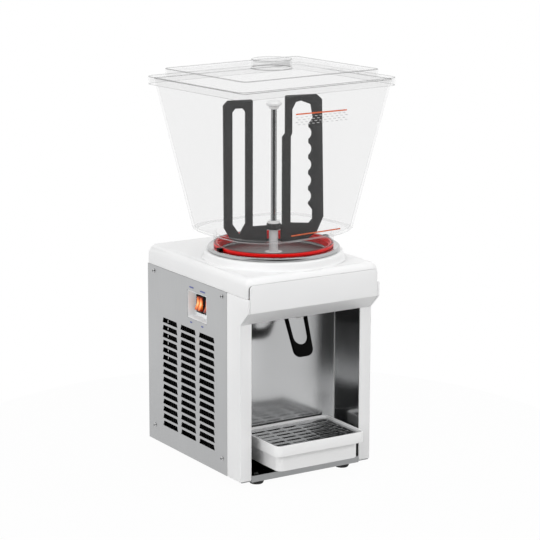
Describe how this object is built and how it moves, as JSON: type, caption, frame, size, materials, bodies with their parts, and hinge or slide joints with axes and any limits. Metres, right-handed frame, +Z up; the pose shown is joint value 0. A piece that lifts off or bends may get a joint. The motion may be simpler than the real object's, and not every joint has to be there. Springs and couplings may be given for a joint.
{
  "type": "refrigerated juice dispenser",
  "caption": "Counter-top cooled drink dispenser with a clear flared bowl, lid, agitator, push-lever tap, cup bay, drip tray, side vents and rocker switches.",
  "frame": {"origin": "centre of the bounding box, on the surface that the feet stand on", "axes": "+X to the right as one faces the cup bay, +Y to the back, +Z up"},
  "size_m": [0.3494, 0.36, 0.6978],
  "materials": {
    "stainless_satin": "satin stainless sheet",
    "stainless_bright": "bright stainless",
    "white_moulding": "white moulded plastic",
    "white_paint": "white painted sheet",
    "black_rubber": "black rubber",
    "black_plastic": "black plastic",
    "dark_plastic": "dark grey plastic",
    "clear_plastic": "clear polycarbonate",
    "red_silicone": "red silicone",
    "amber_lens": "lit translucent rocker",
    "silicone": "translucent white silicone",
    "black_steel": "black painted steel",
    "zinc_steel": "zinc plated steel",
    "copper": "copper pipe",
    "foam": "rigid foam",
    "grey_cast": "die-cast gearbox"
  },
  "bodies": {
    "cabinet": {"base_pan": "stainless_satin", "feet": "black_rubber", "foot_screws": "zinc_steel", "left_side_panel": "stainless_satin", "right_side_panel": "stainless_satin", "back_panel": "zinc_steel", "left_pillar": "white_moulding", "right_pillar": "white_moulding", "top_cover": "white_moulding", "fascia": "white_moulding", "panel_screws": "stainless_bright", "bay_liner": "stainless_satin", "bay_ceiling": "zinc_steel", "bay_floor": "black_plastic", "tray_rails": "black_plastic", "switch_recess": "white_moulding", "switch_bodies": "black_plastic", "lever_pin": "zinc_steel", "valve_bracket": "white_moulding", "valve_spring": "zinc_steel", "outlet_tube": "silicone", "cooling_dish": "stainless_bright", "bowl_gasket": "red_silicone", "bowl_clips": "black_plastic", "shaft_bush": "white_moulding", "top_deck": "zinc_steel", "insulation": "foam", "evaporator_coil": "copper", "drive_motor": "grey_cast", "compressor": "black_steel", "compressor_mounts": "black_rubber", "condenser": "black_steel", "fan_shroud": "black_steel", "fan_motor": "black_steel", "fan_bracket": "zinc_steel", "filter_drier": "copper", "discharge_pipe": "copper", "liquid_pipe": "copper", "capillary_tube": "copper", "suction_pipe": "copper", "thermostat": "dark_plastic", "control_box": "dark_plastic", "cable_inlet": "black_rubber"},
    "lever": {"push_lever": "black_plastic"},
    "slide": {"pinch_slide": "black_plastic"},
    "tray": {"drip_tray": "white_moulding"},
    "grille": {"tray_grille": "stainless_satin"},
    "bowl": {"bowl": "clear_plastic"},
    "lid": {"lid": "clear_plastic"},
    "agitator": {"agitator_frame": "dark_plastic", "agitator_rod": "stainless_bright", "rod_cap": "white_moulding", "hub_washer": "white_moulding", "drive_shaft": "stainless_bright"},
    "mixing_switch": {"mixing_rocker": "amber_lens"},
    "cooling_switch": {"cooling_rocker": "amber_lens"},
    "fan": {"fan_blade": "dark_plastic"}
  },
  "joints": [
    {"name": "bowl_lift", "type": "slide", "parent": "cabinet", "child": "bowl", "axis": [0, 0, 1], "range_m": [0, 0.28]},
    {"name": "lid_lift", "type": "slide", "parent": "bowl", "child": "lid", "axis": [0, 0, 1], "range_m": [0, 0.15]},
    {"name": "agitator_spin", "type": "hinge", "parent": "cabinet", "child": "agitator", "pos_m": [0, -0.0275, 0.4], "axis": [0, 0, 1], "continuous": true},
    {"name": "lever_push", "type": "hinge", "parent": "cabinet", "child": "lever", "pos_m": [0, -0.078, 0.3154], "axis": [1, 0, 0], "range_deg": [0, 18], "stiffness_Nm_per_rad": 1, "springref_deg": -2.86, "deforming": ["valve_spring"]},
    {"name": "pinch_travel", "type": "slide", "parent": "cabinet", "child": "slide", "axis": [0, 1, 0], "range_m": [0, 0.00734], "deforming": ["valve_spring"]},
    {"name": "tray_draw", "type": "slide", "parent": "cabinet", "child": "tray", "axis": [0, -1, 0], "range_m": [0, 0.125]},
    {"name": "grille_lift", "type": "slide", "parent": "tray", "child": "grille", "axis": [0, 0, 1], "range_m": [0, 0.1]},
    {"name": "mixing_press", "type": "hinge", "parent": "cabinet", "child": "mixing_switch", "pos_m": [-0.1145, 0.022, 0.2837], "axis": [0, 1, 0], "range_deg": [-24, 0]},
    {"name": "cooling_press", "type": "hinge", "parent": "cabinet", "child": "cooling_switch", "pos_m": [-0.1145, -0.007, 0.2837], "axis": [0, 1, 0], "range_deg": [-24, 0]},
    {"name": "fan_spin", "type": "hinge", "parent": "cabinet", "child": "fan", "pos_m": [-0.0868, 0.0385, 0.1438], "axis": [1, 0, 0], "continuous": true}
  ],
  "couplings": [
    {"joint": "pinch_travel", "follows": "lever_push", "m_per_rad": 0.023369}
  ]
}
